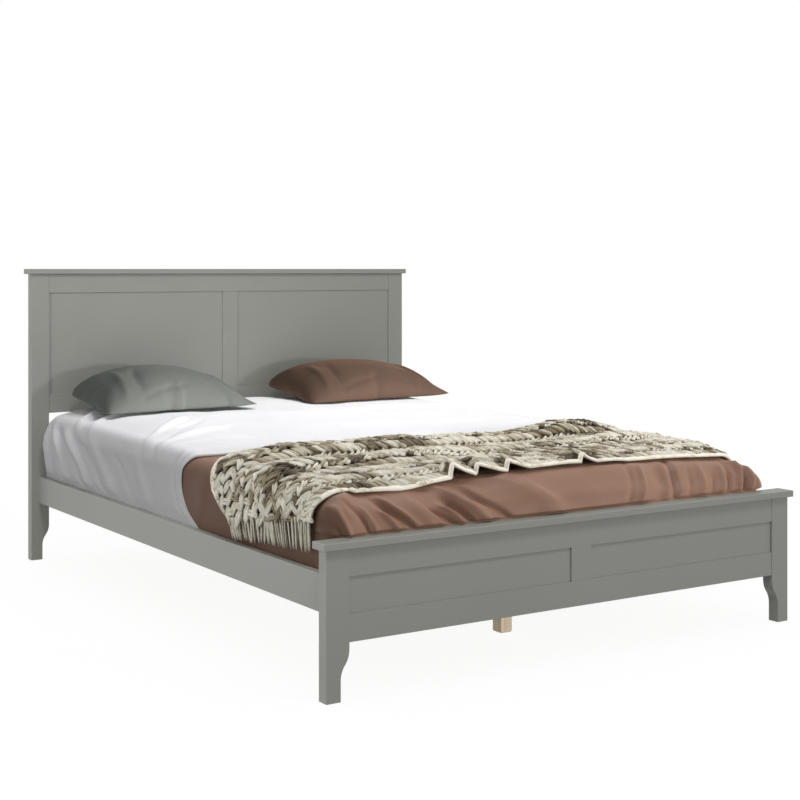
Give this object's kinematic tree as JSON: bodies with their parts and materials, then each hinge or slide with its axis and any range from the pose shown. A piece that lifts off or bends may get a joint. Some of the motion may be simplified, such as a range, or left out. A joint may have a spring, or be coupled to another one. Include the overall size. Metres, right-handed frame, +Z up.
{
  "type": "platform bed",
  "caption": "Low queen bed with frame and panel ends, S-curved legs and a slatted base on a centre beam, dressed with a duvet, bedspread, knitted throw and pillows",
  "frame": {"origin": "on the floor, at the middle of the bed's footprint", "axes": "+X to the right seen from the foot, +Y towards the headboard, +Z up"},
  "size_m": [1.676, 2.146, 1.074],
  "materials": {
    "painted_wood": "satin grey paint",
    "pine": "bare planed pine",
    "zinc_steel": "zinc plated",
    "woven_tape": "woven tape",
    "ticking": "quilted mattress cloth",
    "brown_cotton": "brown sateen cotton",
    "white_cotton": "white cotton percale",
    "knit_wool": "chunky wool knit in cream and taupe",
    "grey_pillowcase": "grey cotton",
    "brown_pillowcase": "brown cotton"
  },
  "bodies": {
    "bed_frame": {"headboard_left_post": "painted_wood", "headboard_right_post": "painted_wood", "headboard_top_rail": "painted_wood", "headboard_panel_rail": "painted_wood", "headboard_base_rail": "painted_wood", "headboard_mid_stile": "painted_wood", "headboard_left_panel": "painted_wood", "headboard_right_panel": "painted_wood", "headboard_cap": "painted_wood", "footboard_left_post": "painted_wood", "footboard_right_post": "painted_wood", "footboard_top_rail": "painted_wood", "footboard_bottom_rail": "painted_wood", "footboard_mid_stile": "painted_wood", "footboard_left_panel": "painted_wood", "footboard_right_panel": "painted_wood", "footboard_cap": "painted_wood", "left_side_rail": "painted_wood", "right_side_rail": "painted_wood", "left_slat_ledger": "pine", "right_slat_ledger": "pine", "centre_beam": "pine", "foot_support_leg": "pine", "middle_support_leg": "pine", "head_support_leg": "pine", "cap_dowels": "pine", "leg_dowels": "pine", "slat_01": "pine", "slat_02": "pine", "slat_03": "pine", "slat_04": "pine", "slat_05": "pine", "slat_06": "pine", "slat_07": "pine", "slat_08": "pine", "slat_09": "pine", "slat_10": "pine", "slat_11": "pine", "slat_12": "pine", "slat_13": "pine", "slat_14": "pine", "beam_shoes": "zinc_steel", "shoe_screws": "zinc_steel", "ledger_screws": "zinc_steel", "slat_screws": "zinc_steel", "plate_screws": "zinc_steel", "rail_hook_plates": "zinc_steel", "post_catch_plates": "zinc_steel", "left_slat_tape": "woven_tape", "right_slat_tape": "woven_tape"},
    "mattress": {"mattress": "ticking", "brown_bedspread": "brown_cotton", "white_duvet": "white_cotton"},
    "throw": {"knit_throw": "knit_wool", "throw_fringe": "knit_wool"},
    "grey_pillow": {"grey_pillow": "grey_pillowcase"},
    "brown_pillow": {"brown_pillow": "brown_pillowcase"}
  },
  "joints": [
    {"name": "mattress_lift", "type": "slide", "parent": "bed_frame", "child": "mattress", "axis": [0, 0, 1], "range_m": [0, 0.85]},
    {"name": "throw_lift", "type": "slide", "parent": "mattress", "child": "throw", "axis": [0, 0, 1], "range_m": [0, 0.3]},
    {"name": "grey_pillow_lift", "type": "slide", "parent": "mattress", "child": "grey_pillow", "axis": [0, 0, 1], "range_m": [0, 0.3]},
    {"name": "brown_pillow_lift", "type": "slide", "parent": "mattress", "child": "brown_pillow", "axis": [0, 0, 1], "range_m": [0, 0.3]}
  ]
}
